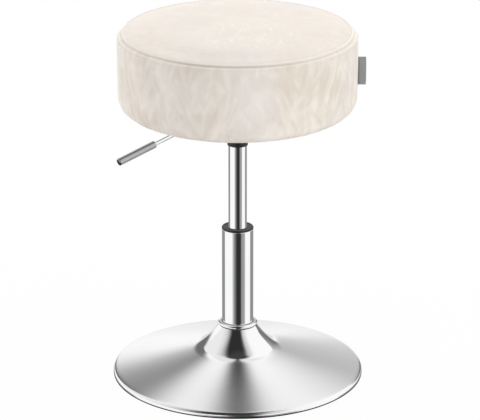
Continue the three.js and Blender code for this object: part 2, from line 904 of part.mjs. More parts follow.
function lockWasher([x, y]) {
  const bore = boltDiameter / 2 + fitGap;
  const bottom = lockWasherTop - lockWasherThickness;
  return ringOf(bore, lockWasherRadius, bottom, lockWasherTop, fastenerSides).translate(x, y, 0);
}

function mountingBolt([x, y]) {
  const headRadius = boltHeadAcross / 2 / Math.cos(Math.PI / hexSides);
  const head = post(headRadius, boltHeadTop - boltHeadHeight, boltHeadTop, hexSides);
  const tip = boardTop - boltTipMargin;
  const shank = post(boltDiameter / 2, boltHeadTop - boltHeadHeight / 2, tip, fastenerSides);
  return join([head, shank]).translate(x, y, 0);
}

// The cover's outer face from the stapled hem, round the lower edge and up the side.
function bandFaceLine() {
  const cornerRadius = seatRadius - sideDrawIn / 2;
  const cornerCentre = point(cornerRadius - seatCornerWidth, seatBottom + seatCornerHeight);
  const corner = arcPoints(cornerCentre, seatCornerWidth, seatCornerHeight, -Math.PI / 2, 0, rollSteps);
  const side = new THREE.QuadraticBezierCurve(
    point(cornerRadius, cornerCentre.y),
    point(seatRadius + sideDrawIn, (cornerCentre.y + bandTop) / 2),
    point(seatRadius - sideDrawIn, bandTop),
  );
  return [point(cornerCentre.x - hemReach, seatBottom), ...corner, ...side.getPoints(bendSteps).slice(1)];
}

// The cover's outer face from the seam, over the soft shoulder, to the middle of the crown.
function crownFaceLine() {
  const [firstOut, firstUp, secondOut, secondUp] = shoulderControlShares;
  const edge = point(seatRadius - sideDrawIn - seamInset, crownEdge);
  const shoulder = point(shoulderRadius, seamHeight + shoulderRise);
  const width = edge.x - shoulder.x;
  const rise = shoulder.y - edge.y;
  const roll = new THREE.CubicBezierCurve(
    edge,
    point(edge.x - width * firstOut, edge.y + rise * firstUp),
    point(edge.x - width * secondOut, edge.y + rise * secondUp),
    shoulder,
  );
  const top = seamHeight + crownRise;
  const control = point(shoulderRadius * crownControlShare, top);
  const crown = new THREE.QuadraticBezierCurve(shoulder, control, point(0, top));
  return [...roll.getPoints(rollSteps), ...crown.getPoints(bendSteps).slice(1)];
}

function coverBand() {
  return turned(sheetOutline(bandFaceLine(), coverCloth), seatSides);
}

function coverTop() {
  const face = crownFaceLine();
  const lining = offsetLine(face, coverCloth).reverse();
  lining[0].x = 0;
  return turned([...lining, ...face], seatSides);
}

function welt() {
  const centre = point(seatRadius - sideDrawIn, seamHeight);
  const section = arcPoints(centre, weltRadius, weltRadius, 0, 2 * Math.PI, hexSides);
  return turned(section.slice(0, -1), seatSides);
}

// The foam fills the cover and is rebated for the board.
function foamCore() {
  const inset = coverCloth + fitGap;
  const rebate = boreFor(boardRadius, fitGap, seatSides);
  const side = offsetLine(bandFaceLine(), inset).filter((p) => p.x > rebate);
  const crown = offsetLine(crownFaceLine(), inset);
  crown[crown.length - 1].x = 0;
  return turned([
    point(0, boardTop + fitGap),
    point(rebate, boardTop + fitGap),
    point(rebate, side[0].y),
    ...side,
    ...crown,
  ], seatSides);
}

// Black cloth under the board, drawn up by the plate and laid over the hem.
function dustCover() {
  const hemInner = seatRadius - sideDrawIn / 2 - seatCornerWidth - hemReach;
  const hemLow = seatBottom - fitGap;
  const highTop = dustClothBottom + dustClothThickness;
  const stepInner = hemInner - fitGap - dustStepWidth;
  const disc = turned([
    point(0, dustClothBottom),
    point(stepInner, dustClothBottom),
    point(hemInner - fitGap, hemLow - dustClothThickness),
    point(hemInner + dustClothOverlap, hemLow - dustClothThickness),
    point(hemInner + dustClothOverlap, hemLow),
    point(hemInner - fitGap, hemLow),
    point(stepInner, highTop),
    point(0, highTop),
  ], seatSides);
  const holes = boltPlaces.map(([x, y]) => post(
    boltHoleRadius,
    dustClothBottom - cutOverrun,
    highTop + cutOverrun,
    fastenerSides,
  ).translate(x, y, 0));
  return cut(disc, holes);
}

// A folded ribbon that stands out of the side seam.
function labelTag() {
  const root = Math.max(...bandFaceLine().map((p) => p.x)) + fitGap;
  const shape = new THREE.Shape();
  const inner = tabFoldGap / 2;
  const outer = inner + tabLayer;
  shape.moveTo(root, -outer);
  shape.lineTo(root + tabLength - outer, -outer);
  shape.absarc(root + tabLength - outer, 0, outer, -Math.PI / 2, Math.PI / 2, false);
  shape.lineTo(root, outer);
  shape.lineTo(root, inner);
  shape.lineTo(root + tabLength - outer, inner);
  shape.absarc(root + tabLength - outer, 0, inner, Math.PI / 2, -Math.PI / 2, true);
  shape.lineTo(root, -inner);
  const top = seamHeight - tabDrop;
  return prism(shape, top - tabHeight, top);
}

// The parts that stand on the floor
const base = new THREE.Group();
base.add(
  part('base_shell', baseShell(), 'satinChrome'),
  part('base_rim_rubber', baseRimRubber(), 'rubber'),
  part('base_cover_ring', baseCoverRing(), 'chrome'),
  part('base_socket', baseSocket(), 'bareSteel'),
  part('base_brace', baseBrace(), 'bareSteel'),
  part('column', column(), 'chrome'),
  part('guide_bush', guideBush(), 'blackPlastic'),
  part('bearing_lower_washer', bearingWasher(lowerWasherBottom, true), 'bareSteel'),
);

// The cage and balls of the thrust bearing
const bearing = new THREE.Group();
bearing.add(part('bearing_cage', bearingCage(), 'zincSteel'));
ballPlaces.forEach((place, i) => {
  bearing.add(part(`bearing_ball_${i + 1}`, bearingBall(place), 'bareSteel'));
});

// The rod, which turns on the bearing and stays at its height
const rod = new THREE.Group();
rod.add(
  part('gas_rod', gasRod(), 'bareSteel'),
  part('gas_piston', gasPiston(), 'bareSteel'),
  part('bearing_upper_washer', bearingWasher(upperWasherBottom, false), 'bareSteel'),
  part('bump_stop', bumpStop(), 'rubber'),
  part('rod_clip_washer', rodClipWasher(), 'zincSteel'),
  part('rod_clip', rodClip(), 'zincSteel'),
);

// The seat with the gas cylinder in its socket
const seat = new THREE.Group();
seat.add(
  part('gas_cylinder', gasCylinder(), 'chrome'),
  part('gas_gland', gasGland(), 'bareSteel'),
  part('mechanism_socket', mechanismSocket(), 'paintedSteel'),
  part('foam_core', foamCore(), 'foam'),
  part('cover_top', coverTop(), 'velvet'),
  part('cover_band', coverBand(), 'velvet'),
  part('welt', welt(), 'velvet'),
  part('label_tag', labelTag(), 'greyTab'),
);

// What is bolted up in line with the lever is turned to the lever's direction
const mechanism = new THREE.Group();
mechanism.add(
  part('mechanism_plate', mechanismPlate(), 'paintedSteel'),
  part('lever_pin', leverPin(), 'zincSteel'),
  part('seat_board', seatBoard(), 'plywood'),
  part('dust_cover', dustCover(), 'dustCloth'),
);
boltPlaces.forEach((place, i) => {
  mechanism.add(
    part(`tee_nut_${i + 1}`, teeNut(place), 'zincSteel'),
    part(`lock_washer_${i + 1}`, lockWasher(place), 'zincSteel'),
    part(`mounting_bolt_${i + 1}`, mountingBolt(place), 'zincSteel'),
  );
});

// The lever turns on its pin and presses the valve pin
const lever = new THREE.Group();
lever.add(
  part('lever_rod', leverRod(), 'chrome'),
  part('lever_grip', leverGrip(), 'chrome'),
);
mechanism.add(lever);
mechanism.rotation.z = THREE.MathUtils.degToRad(leverAzimuth);

const valve = new THREE.Group();
valve.add(part('valve_pin', valvePin(), 'bareSteel'));

const stool = new THREE.Group();
stool.add(base, bearing, rod, seat, mechanism, valve);

export default stool;
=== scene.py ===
import json
import math

import bpy
import numpy as np
from mathutils import Matrix, Vector

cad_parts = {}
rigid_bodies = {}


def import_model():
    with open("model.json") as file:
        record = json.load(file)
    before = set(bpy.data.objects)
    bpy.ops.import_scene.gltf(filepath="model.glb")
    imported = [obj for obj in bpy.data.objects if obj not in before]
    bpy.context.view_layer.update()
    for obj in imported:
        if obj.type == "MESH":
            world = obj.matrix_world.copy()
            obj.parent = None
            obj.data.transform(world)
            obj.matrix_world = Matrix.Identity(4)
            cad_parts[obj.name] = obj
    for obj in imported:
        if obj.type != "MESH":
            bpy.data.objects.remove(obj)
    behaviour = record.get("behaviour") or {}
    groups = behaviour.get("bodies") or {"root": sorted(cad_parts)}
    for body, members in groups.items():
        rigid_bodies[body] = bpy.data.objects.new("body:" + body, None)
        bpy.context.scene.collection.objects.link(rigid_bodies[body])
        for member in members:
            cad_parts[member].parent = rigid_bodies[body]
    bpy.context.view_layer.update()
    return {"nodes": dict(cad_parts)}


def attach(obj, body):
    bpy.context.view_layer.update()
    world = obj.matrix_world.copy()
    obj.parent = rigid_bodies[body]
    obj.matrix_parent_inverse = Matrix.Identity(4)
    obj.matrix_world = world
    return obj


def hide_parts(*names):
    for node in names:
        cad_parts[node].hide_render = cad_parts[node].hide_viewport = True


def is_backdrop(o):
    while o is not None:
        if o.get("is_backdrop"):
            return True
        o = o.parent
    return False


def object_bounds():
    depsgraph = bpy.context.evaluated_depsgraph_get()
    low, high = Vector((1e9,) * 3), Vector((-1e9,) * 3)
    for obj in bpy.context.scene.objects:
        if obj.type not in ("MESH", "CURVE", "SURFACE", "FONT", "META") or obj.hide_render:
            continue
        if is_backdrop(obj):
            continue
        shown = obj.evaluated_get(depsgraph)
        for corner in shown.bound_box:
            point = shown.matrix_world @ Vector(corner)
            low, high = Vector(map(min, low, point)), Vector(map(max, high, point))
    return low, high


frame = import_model()


# Trumpet base
# One disc of sheet steel, spun over a former into a shallow dish with a steep neck and
# a rolled rim, then chromed: the dish is brushed to a satin while it still turns, and
# the neck above the crease is polished bright.
class Wire:
    """An output of a node. Sums, differences, products and quotients of it add Math nodes."""

    def __init__(self, finish, socket):
        self.finish = finish
        self.socket = socket

    def __add__(self, other):
        return self.finish.maths("ADD", self, other)

    def __radd__(self, other):
        return self.finish.maths("ADD", other, self)

    def __sub__(self, other):
        return self.finish.maths("SUBTRACT", self, other)

    def __rsub__(self, other):
        return self.finish.maths("SUBTRACT", other, self)

    def __mul__(self, other):
        return self.finish.maths("MULTIPLY", self, other)

    def __rmul__(self, other):
        return self.finish.maths("MULTIPLY", other, self)

    def __truediv__(self, other):
        return self.finish.maths("DIVIDE", self, other)


class Finish:
    """The nodes of one material, or of the studio round the stool."""

    def __init__(self, owner):
        self.owner = owner
        owner.use_nodes = True
        self.tree = owner.node_tree
        self.tree.nodes.clear()

    def node(self, kind, settings=None, inputs=None, output=0):
        """Any node: its kind, its settings, and the values or links of its sockets."""
        made = self.tree.nodes.new(kind)
        for key, value in (settings or {}).items():
            if key == "stops":
                ramp = made.color_ramp
                while len(ramp.elements) < len(value):
                    ramp.elements.new(1.0)
                for element, (place, tone) in zip(ramp.elements, value):
                    element.position = place
                    element.color = (*tone, 1.0)
            else:
                setattr(made, key, value)
        for key, value in (inputs or {}).items():
            if isinstance(value, Wire):
                self.tree.links.new(value.socket, made.inputs[key])
            else:
                made.inputs[key].default_value = value
        return Wire(self, made.outputs[output]) if made.outputs else None

    def maths(self, operation, first, second=0.0):
        return self.node("ShaderNodeMath", {"operation": operation}, {0: first, 1: second})

    def place(self):
        """Where a point of the piece is, in metres, as it was made."""
        return self.node("ShaderNodeTexCoord", output="Object")

    def split(self, vector, axis):
        return self.node("ShaderNodeSeparateXYZ", None, {0: vector}, output=axis)

    def joined(self, x, y, z):
        return self.node("ShaderNodeCombineXYZ", None, {0: x, 1: y, 2: z})

    def scaled(self, vector, factors):
        return self.node(
            "ShaderNodeVectorMath", {"operation": "MULTIPLY"}, {0: vector, 1: factors}
        )

    def radius(self, vector):
        """The distance from the stool's axis."""
        flat = self.scaled(vector, (1.0, 1.0, 0.0))
        return self.node("ShaderNodeVectorMath", {"operation": "LENGTH"}, {0: flat}, output="Value")

    def noise(self, vector, scale, detail=2.0, rough=0.5, twist=0.0):
        sizes = {"Vector": vector, "Scale": scale, "Detail": detail, "Roughness": rough,
                 "Distortion": twist}
        return self.node("ShaderNodeTexNoise", None, sizes, output="Fac")

    def eased(self, value, low, high, start=0.0, end=1.0):
        """Goes smoothly from start to end while the value goes from low to high."""
        sizes = {"Value": value, "From Min": low, "From Max": high, "To Min": start, "To Max": end}
        return self.node("ShaderNodeMapRange", {"interpolation_type": "SMOOTHSTEP"}, sizes)

    def blended(self, factor, first, second, way="MIX"):
        """One colour turned into another by a factor."""
        settings = {"data_type": "RGBA", "blend_type": way}
        return self.node("ShaderNodeMix", settings, {0: factor, 6: first, 7: second}, output=2)

    def ramp(self, factor, stops):
        return self.node("ShaderNodeValToRGB", {"stops": stops}, {0: factor}, output="Color")

    def bump(self, height, strength, depth, under=None):
        sizes = {"Height": height, "Strength": strength, "Distance": depth}
        if under is not None:
            sizes["Normal"] = under
        return self.node("ShaderNodeBump", None, sizes, output="Normal")

    def finished(self, **sockets):
        """Closes a material with the surface that these sockets describe."""
        inputs = {key.replace("_", " "): value for key, value in sockets.items()}
        skin = self.node("ShaderNodeBsdfPrincipled", None, inputs, output="BSDF")
        self.node("ShaderNodeOutputMaterial", None, {"Surface": skin})
        return self.owner


def tone(red, green, blue):
    """A colour as it is read off a swatch, 0 to 255, as the light that it gives back."""
    shares = [value / 255 for value in (red, green, blue)]
    light = [s / 12.92 if s <= 0.04045 else ((s + 0.055) / 1.055) ** 2.4 for s in shares]
    return (*light, 1.0)


def along(points, spacing):
    """A smooth line through some points, as points about one spacing apart."""
    line = [np.array(p, float) for p in points]
    line = [2 * line[0] - line[1], *line, 2 * line[-1] - line[-2]]
    made = []
    for a, b, c, d in zip(line, line[1:], line[2:], line[3:]):
        steps = max(1, round(float(np.linalg.norm(c - b)) / spacing))
        for t in np.arange(steps) / steps:
            made.append(
                0.5 * (2 * b + (c - a) * t + (2 * a - 5 * b + 4 * c - d) * t**2
                       + (3 * b - a - 3 * c + d) * t**3)
            )
    return [*made, line[-2]]


def bowed(start, pull, end, steps):
    """A bend from one point to another, drawn towards a third."""
    start, pull, end = (np.array(p, float) for p in (start, pull, end))
    return [(1 - t) ** 2 * start + 2 * t * (1 - t) * pull + t * t * end
            for t in np.linspace(0, 1, steps + 1)]


def arc(centre, across, up, first, last, steps):
    """Points on a round or an ellipse, between two angles in degrees."""
    return [(centre[0] + across * math.cos(a), centre[1] + up * math.sin(a))
            for a in np.radians(np.linspace(first, last, steps + 1))]


def broken(corners, reach, closed=True):
    """An outline whose sharp corners are eased by a small round."""
    line, count = [], len(corners)
    for i, corner in enumerate(corners):
        here = np.array(corner, float)
        if not closed and i in (0, count - 1):
            line.append(here)
            continue
        back = np.array(corners[i - 1], float) - here
        ahead = np.array(corners[(i + 1) % count], float) - here
        far_back, far_ahead = np.linalg.norm(back), np.linalg.norm(ahead)
        back, ahead = back / far_back, ahead / far_ahead
        if back @ ahead < -0.94:
            line.append(here)
            continue
        cut = min(reach, 0.35 * far_back, 0.35 * far_ahead)
        line.append(here + 1.3 * cut * back)
        line.extend(bowed(here + cut * back, here, here + cut * ahead, 4))
        line.append(here + 1.3 * cut * ahead)
    return line


def backed(line, thickness):
    """The closed outline of a sheet with one face along a line, in order from lip to lip."""
    line = [np.array(p, float) for p in line]
    other = []
    for i, here in enumerate(line):
        run = line[min(i + 1, len(line) - 1)] - line[max(i - 1, 0)]
        run = run / np.linalg.norm(run)
        other.append(here + thickness * np.array([-run[1], run[0]]))
    return [*line, *reversed(other)]


def piece(name, points, faces, finish, crisp=40):
    """A mesh of points in millimetres, shaded smooth apart from its crisp edges."""
    mesh = bpy.data.meshes.new(name)
    mesh.from_pydata([tuple(float(v) / 1000 for v in p) for p in points], [], faces)
    mesh.validate()
    mesh.materials.append(finish)
    mesh.shade_smooth()
    mesh.set_sharp_from_angle(angle=math.radians(crisp))
    made = bpy.data.objects.new(name, mesh)
    bpy.context.scene.collection.objects.link(made)
    return made


def turned(outline, sides):
    """Points and faces of a turned form: the outline closes on itself or ends on the axis."""
    on_axis = outline[0][0] == 0 and outline[-1][0] == 0
    angles = [2 * math.pi * i / sides for i in range(sides)]
    points, rings = [], []
    for radius, height in outline:
        rings.append((len(points), 1 if radius == 0 else sides))
        spread = [0.0] if radius == 0 else angles
        points.extend((radius * math.cos(a), radius * math.sin(a), height) for a in spread)
    faces = []
    pairs = list(zip(rings, rings[1:])) + ([] if on_axis else [(rings[-1], rings[0])])
    for (low, low_count), (high, high_count) in pairs:
        for i in range(sides):
            j = (i + 1) % sides
            face = [low + i % low_count, low + j % low_count,
                    high + j % high_count, high + i % high_count]
            face = [p for k, p in enumerate(face) if p != face[k - 1]]
            if len(face) > 2:
                faces.append(face)
    return points, faces


def seated(made, body, slot, *nodes):
    """A piece goes on its body in place of the solids that it stands for. Its slot is not used."""
    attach(made, body)
    if nodes:
        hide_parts(*nodes)
    return made


def chrome_tints(finish, vector):
    """The faint uneven tone that plating has over a hand's width."""
    cloud = finish.noise(vector, 9.0, 3.0)
    return finish.ramp(cloud, [(0.3, (0.93, 0.932, 0.937)), (0.7, (0.97, 0.97, 0.97))])


spun = Finish(bpy.data.materials.new("satin_and_polished_chrome"))
where = spun.place()
out = spun.radius(where)
brushed = spun.eased(out, 0.057, 0.067)
turning_lines = spun.noise(spun.joined(out * 900.0, 0.0, 0.0), 1.0, 3.0, 0.7)
base_finish = spun.finished(
    Base_Color=chrome_tints(spun, where),
    Metallic=1.0,
    Roughness=0.045 + brushed * (0.06 + spun.eased(out, 0.06, 0.17) * 0.045 + 0.05 * turning_lines),
    Normal=spun.bump(turning_lines * brushed, 0.05, 0.0002),
)

sheet, base_sides = 1.8, 224
roll_centre, roll_radius = (186.3, 3.1), 6.0
rim_edge = (192.3, 2.0)
dish_slope = 0.2607
crease, neck_pull, neck_top = (62.5, 41.57), (42.0, 55.97), (28.5, 77.0)
fillet_foot, fillet_pull = (71.5, 39.22), (62.3, 41.62)
roll_end = 90 - math.degrees(math.atan(dish_slope))
roll = arc(roll_centre, roll_radius, roll_radius, 0, roll_end, 10)
dish = [np.array(roll[-1]) * (1 - t) + np.array(fillet_foot) * t for t in np.linspace(0, 1, 25)]
neck = bowed(crease, neck_pull, neck_top, 30)[4:]
fillet = bowed(fillet_foot, fillet_pull, neck[0], 10)
face = [rim_edge, *roll, *dish[1:-1], *fillet[:-1], *neck]
base = piece("spun_base", *turned(backed(face, sheet), base_sides), base_finish)
seated(base, "base", "satin_chrome", "base_shell")


# Rubber trim
# A soft black edging that is pushed over the rim from below, so that the metal never
# meets the floor. Only its outer edge shows, as a thin black line.
edging = Finish(bpy.data.materials.new("black_rubber"))
where = edging.place()
grain = edging.noise(where, 900.0, 3.0, 0.6)
scuffs = edging.noise(edging.scaled(where, (1.0, 1.0, 6.0)), 35.0, 4.0)
rubber_finish = edging.finished(
    Base_Color=edging.ramp(scuffs, [(0.35, (0.008, 0.008, 0.008)), (0.75, (0.02, 0.02, 0.02))]),
    Roughness=0.6 + 0.25 * scuffs,
    Normal=edging.bump(grain, 0.2, 0.0004),
)
trim_inner, lip_outer, trim_outer = 187.0, 189.3, 192.5
sole_top, lip_top = 1.7, 4.6
sole = [(trim_inner, 0.0), (trim_outer, 0.0), (trim_outer, sole_top), (lip_outer, sole_top),
        (lip_outer, lip_top), (trim_inner, lip_top)]
trim = piece("rim_edging", *turned(broken(sole, 0.5), base_sides), rubber_finish)
seated(trim, "base", "rubber", "base_rim_rubber")


# Socket and brace inside the base
# A short tube for the foot of the column, and under it a pressed cone with six holes
# that carries the dish. Both are bare mill steel, welded, and are seen only from below.
def dressed(finish, *nodes):
    """Solids whose shape is right get their finish in all their slots."""
    for node in nodes:
        for slot in frame["nodes"][node].material_slots:
            slot.material = finish


mill = Finish(bpy.data.materials.new("bare_steel"))
where = mill.place()
scale_marks = mill.noise(where, 60.0, 5.0, 0.6)
drawn = mill.noise(mill.scaled(where, (1.0, 1.0, 0.08)), 700.0, 2.0)
bare_finish = mill.finished(
    Base_Color=mill.ramp(scale_marks, [(0.3, (0.33, 0.33, 0.34)), (0.7, (0.52, 0.52, 0.53))]),
    Metallic=1.0,
    Roughness=0.28 + 0.2 * scale_marks,
    Normal=mill.bump(drawn, 0.12, 0.0003),
)
dressed(bare_finish, "base_socket", "base_brace", "bearing_lower_washer", "bearing_upper_washer")


# Outer column
# A drawn steel tube, 48 mm across, polished and chromed. Its foot tapers a little and
# is wedged in the socket, and its top edge is broken so that the bush can be pressed in.
plate = Finish(bpy.data.materials.new("bright_chrome"))
where = plate.place()
smears = plate.noise(plate.scaled(where, (1.0, 1.0, 0.35)), 40.0, 3.0)
ripple = plate.noise(plate.scaled(where, (1.0, 1.0, 0.2)), 55.0, 1.0)
chrome_finish = plate.finished(
    Base_Color=chrome_tints(plate, where),
    Metallic=1.0,
    Roughness=0.035 + 0.05 * smears,
    Normal=plate.bump(ripple, 0.04, 0.0005),
)
tube_radius, foot_radius, tube_wall = 24.0, 23.0, 1.5
tube_foot, taper_top, tube_top = 16.0, 84.0, 234.1
web_hole, web_top = 4.4, 18.5
tube = [(web_hole, tube_foot), (foot_radius, tube_foot), (tube_radius, taper_top),
        (tube_radius, tube_top), (tube_radius - tube_wall, tube_top),
        (tube_radius - tube_wall, taper_top), (foot_radius - tube_wall, web_top),
        (web_hole, web_top)]
column = piece("column_tube", *turned(broken(tube, 0.6), 128), chrome_finish)
seated(column, "base", "chrome", "column")


# Cover ring
# A small pressed ring with a rolled face that slides down the column and hides the
# joint between the column and the neck of the base. It is chromed and only rests there.
ring_bore, ring_foot, ring_top = 24.3, 77.3, 83.2
ring_lip, ring_waist = (28.9, ring_foot), (30.3, 80.0)
ring_face = arc((26.6, 80.3), 3.7, 2.9, 8, 90, 9)
ring_line = [(ring_bore, ring_foot), ring_lip, ring_waist, *ring_face, (ring_bore, ring_top)]
rung = Finish(bpy.data.materials.new("ring_chrome"))
where = rung.place()
# The lower lip and the inner edge go over to a dull black: painted shade in the joints with the neck
# and the column.
low_lip = rung.eased(rung.split(where, "Z"), 0.0792, 0.0799, 1.0, 0.0)
inner_lip = rung.eased(rung.radius(where), 0.0247, 0.0252, 1.0, 0.0)
shade_mottle = rung.noise(where, 300.0, 3.0)
painted_joint_shade = (low_lip + inner_lip) * (0.85 + 0.15 * shade_mottle)
ring_finish = rung.finished(
    Base_Color=rung.blended(painted_joint_shade, chrome_tints(rung, where), (0.02, 0.02, 0.02, 1.0)),
    Metallic=1 - painted_joint_shade,
    Roughness=0.05 + 0.45 * painted_joint_shade,
)
ring = piece("neck_cover_ring", *turned(broken(ring_line, 0.4), 128), ring_finish)
seated(ring, "base", "chrome", "base_cover_ring")


# Guide bush
# Moulded in black plastic and pressed into the top of the column: a flange with a
# shallow ring sunk in its face, and a sleeve with eight ribs that the cylinder slides in.
moulded = Finish(bpy.data.materials.new("black_plastic"))
where = moulded.place()
spark = moulded.noise(where, 1500.0, 2.0)
rub = moulded.noise(where, 80.0, 3.0)
plastic_finish = moulded.finished(
    Base_Color=moulded.ramp(rub, [(0.3, (0.012, 0.012, 0.013)), (0.7, (0.022, 0.022, 0.023))]),
    Roughness=0.27 + 0.15 * rub,
    Normal=moulded.bump(spark, 0.08, 0.0002),
)
bush_bore, core_radius, sleeve_radius, flange_radius = 14.45, 17.05, 22.2, 24.3
band_height, sleeve_foot, flange_foot, flange_top = 7.0, 172.4, 234.4, 237.4
groove_inner, groove_outer, groove_floor = 15.8, 20.3, 236.3
flange_edge = arc((22.7, 235.8), 1.6, 1.6, 0, 90, 6)
bush_line = [(bush_bore, sleeve_foot), (sleeve_radius, sleeve_foot),
             (sleeve_radius, sleeve_foot + band_height), (core_radius, sleeve_foot + band_height),
             (core_radius, flange_foot - band_height), (sleeve_radius, flange_foot - band_height),
             (sleeve_radius, flange_foot), (flange_radius, flange_foot), *flange_edge,
             (groove_outer + 0.3, flange_top), (groove_outer, groove_floor),
             (groove_inner, groove_floor), (groove_inner - 0.3, flange_top),
             (bush_bore, flange_top)]
points, faces = turned(broken(bush_line, 0.25), 96)
rib_count, rib_reaches, rib_sides, rib_levels = 8, (15.8, 21.9), (-1.5, 1.5), (183.0, 225.5)
for turn in range(rib_count):
    spin = Matrix.Rotation(2 * math.pi * turn / rib_count, 3, "Z")
    start = len(points)
    points.extend(spin @ Vector((x, y, z)) for x in rib_reaches for y in rib_sides
                  for z in rib_levels)
    faces.extend([start + k for k in quad] for quad in
                 ((0, 1, 3, 2), (4, 6, 7, 5), (0, 4, 5, 1), (2, 3, 7, 6), (0, 2, 6, 4), (1, 5, 7, 3)))
bush = piece("guide_bush_moulding", points, faces, plastic_finish)
seated(bush, "base", "black_plastic", "guide_bush")


# Thrust bearing, rod and clip
# The rod of the gas spring stands on a caged ball bearing inside the column and is held
# down by a spring clip under the column's web. Ground steel, with zinc on the pressings.
zinc = Finish(bpy.data.materials.new("zinc_plated_steel"))
where = zinc.place()
bloom = zinc.noise(where, 120.0, 3.0)
zinc_finish = zinc.finished(
    Base_Color=zinc.ramp(bloom, [(0.3, (0.50, 0.53, 0.56)), (0.55, (0.60, 0.60, 0.58)),
                                 (0.75, (0.62, 0.58, 0.46))]),
    Metallic=1.0,
    Roughness=0.24 + 0.18 * bloom,
    Normal=zinc.bump(zinc.noise(where, 1400.0, 2.0), 0.06, 0.0002),
)
dressed(zinc_finish, "bearing_cage", "rod_clip", "rod_clip_washer")
dressed(bare_finish, *(f"bearing_ball_{i}" for i in range(1, 9)), "gas_rod", "gas_piston")
dressed(rubber_finish, "bump_stop")


# Gas cylinder
# The seat goes up and down on this chromed tube, 28 mm across. Its top is tapered for the
# socket in the seat, with the valve pin in the middle, and its gland closes the bottom.
barrel_radius, barrel_bore, gland_hole, valve_hole = 14.0, 12.2, 10.4, 3.4
barrel_foot, cone_foot, barrel_top = 161.4, 372.0, 403.0
lip_thick, head_thick = 1.8, 11.0
barrel_line = [(gland_hole, barrel_foot), (barrel_radius, barrel_foot), (barrel_radius, cone_foot),
               (12.9, barrel_top - 0.8), (12.1, barrel_top), (valve_hole, barrel_top),
               (valve_hole, barrel_top - head_thick), (6.7, barrel_top - head_thick),
               (barrel_bore, barrel_top - 16.5), (barrel_bore, barrel_foot + lip_thick),
               (gland_hole, barrel_foot + lip_thick)]
barrel = piece("gas_spring_tube", *turned(broken(barrel_line, 0.5), 96), chrome_finish)
seated(barrel, "seat", "chrome", "gas_cylinder")
dressed(bare_finish, "gas_gland", "valve_pin")


# Mechanism under the seat
# A pressed steel plate with a drawn pan, painted black, bolted up under the seat board.
# The tapered socket for the cylinder is welded into the pan, and so is seen below the seat.
paint = Finish(bpy.data.materials.new("black_painted_steel"))
where = paint.place()
orange_peel = paint.noise(where, 420.0, 2.0)
wear = paint.noise(where, 50.0, 4.0)
paint_finish = paint.finished(
    Base_Color=paint.ramp(wear, [(0.35, (0.010, 0.010, 0.011)), (0.8, (0.022, 0.022, 0.023))]),
    Roughness=0.32 + 0.16 * wear,
    Normal=paint.bump(orange_peel, 0.12, 0.0004),
)
collar_radius, collar_mouth, collar_throat = 15.6, 14.3, 13.15
collar_foot, collar_top = 368.8, 404.0
collar_line = [(collar_mouth, collar_foot), (collar_radius, collar_foot),
               (collar_radius, collar_top), (collar_throat, collar_top), (collar_mouth, cone_foot)]
collar = piece("seat_socket_collar", *turned(broken(collar_line, 0.35), 96), paint_finish)
seated(collar, "seat", "black_steel", "mechanism_socket")
dressed(paint_finish, "mechanism_plate")
dressed(zinc_finish, "lever_pin", *(f"{kind}_{i}" for i in range(1, 5)
                                    for kind in ("mounting_bolt", "lock_washer", "tee_nut")))


# Release lever
# A 6 mm chromed rod, welded to a flat tongue that turns on the pin and presses the valve.
# The rod dips outside the pan, and a chromed sleeve is pushed over its end as a grip.
lever_turn = Matrix.Rotation(math.radians(215), 4, "Z")
lever_height, lever_drop = 413.0, 30.8
dip_reach, tip_reach, rod_reach = 92.0, 214.6, 209.7
rod_radius, bend_length = 3.0, 7.2
slope = math.atan(lever_drop / (tip_reach - dip_reach))


def swept(line, radius, sides):
    """A round rod along a line that lies in the plane of reach and height."""
    points, faces = [], []
    line = [np.array(p, float) for p in line]
    for i, here in enumerate(line):
        run = line[min(i + 1, len(line) - 1)] - line[max(i - 1, 0)]
        run = run / np.linalg.norm(run)
        for k in range(sides):
            a = 2 * math.pi * k / sides
            across, up = radius * math.sin(a), radius * math.cos(a)
            points.append((here[0] - up * run[1], across, here[1] + up * run[0]))
    for i in range(len(line) - 1):
        for k in range(sides):
            m = (k + 1) % sides
            faces.append([i * sides + k, i * sides + m, (i + 1) * sides + m, (i + 1) * sides + k])
    faces.append(list(reversed(range(sides))))
    faces.append([(len(line) - 1) * sides + k for k in range(sides)])
    return points, faces


rod_start = [(reach, lever_height) for reach in (39.0, 60.0, 84.0)]
bend = bowed((84.6, lever_height), (dip_reach, lever_height),
             (dip_reach + bend_length, lever_height - bend_length * math.tan(slope)), 12)
rod_end = (rod_reach, lever_height - (rod_reach - dip_reach) * math.tan(slope))
points, faces = swept([*rod_start, *bend, rod_end], rod_radius, 40)

edge_count, far = 64, 1e9
pin_reach, half_high, half_thick, pin_hole = 32.0, 3.7, 2.5, 2.95
tongue_front, tail_centre = 14.0, -5.3
rim, bore = [], []
for k in range(edge_count):
    a = 2 * math.pi * k / edge_count
    dx, dz = math.cos(a), math.sin(a)
    to_front = tongue_front / dx if dx > 1e-6 else far
    to_edge = half_high / abs(dz) if abs(dz) > 1e-6 else far
    reach = min(to_front, to_edge)
    if dx < 0 and pin_reach + dx * reach < tail_centre:
        back = dx * (tail_centre - pin_reach)
        beyond = (tail_centre - pin_reach) ** 2 - half_high**2
        reach = back + math.sqrt(max(back * back - beyond, 0))
    rim.append((pin_reach + dx * reach, lever_height + dz * reach))
    bore.append((pin_reach + pin_hole * dx, lever_height + pin_hole * dz))
start = len(points)
for side in (-half_thick, half_thick):
    for ring_points in (rim, bore):
        points.extend((x, side, z) for x, z in ring_points)
for k in range(edge_count):
    m = (k + 1) % edge_count
    a, b, c, d = (start + edge_count * n for n in range(4))
    faces.extend([[a + k, a + m, b + m, b + k], [c + m, c + k, d + k, d + m],
                  [a + m, a + k, c + k, c + m], [b + k, b + m, d + m, d + k]])
points = [lever_turn @ Vector(p) for p in points]
lever = piece("release_lever", points, faces, chrome_finish, crisp=50)
seated(lever, "lever", "chrome", "lever_rod")

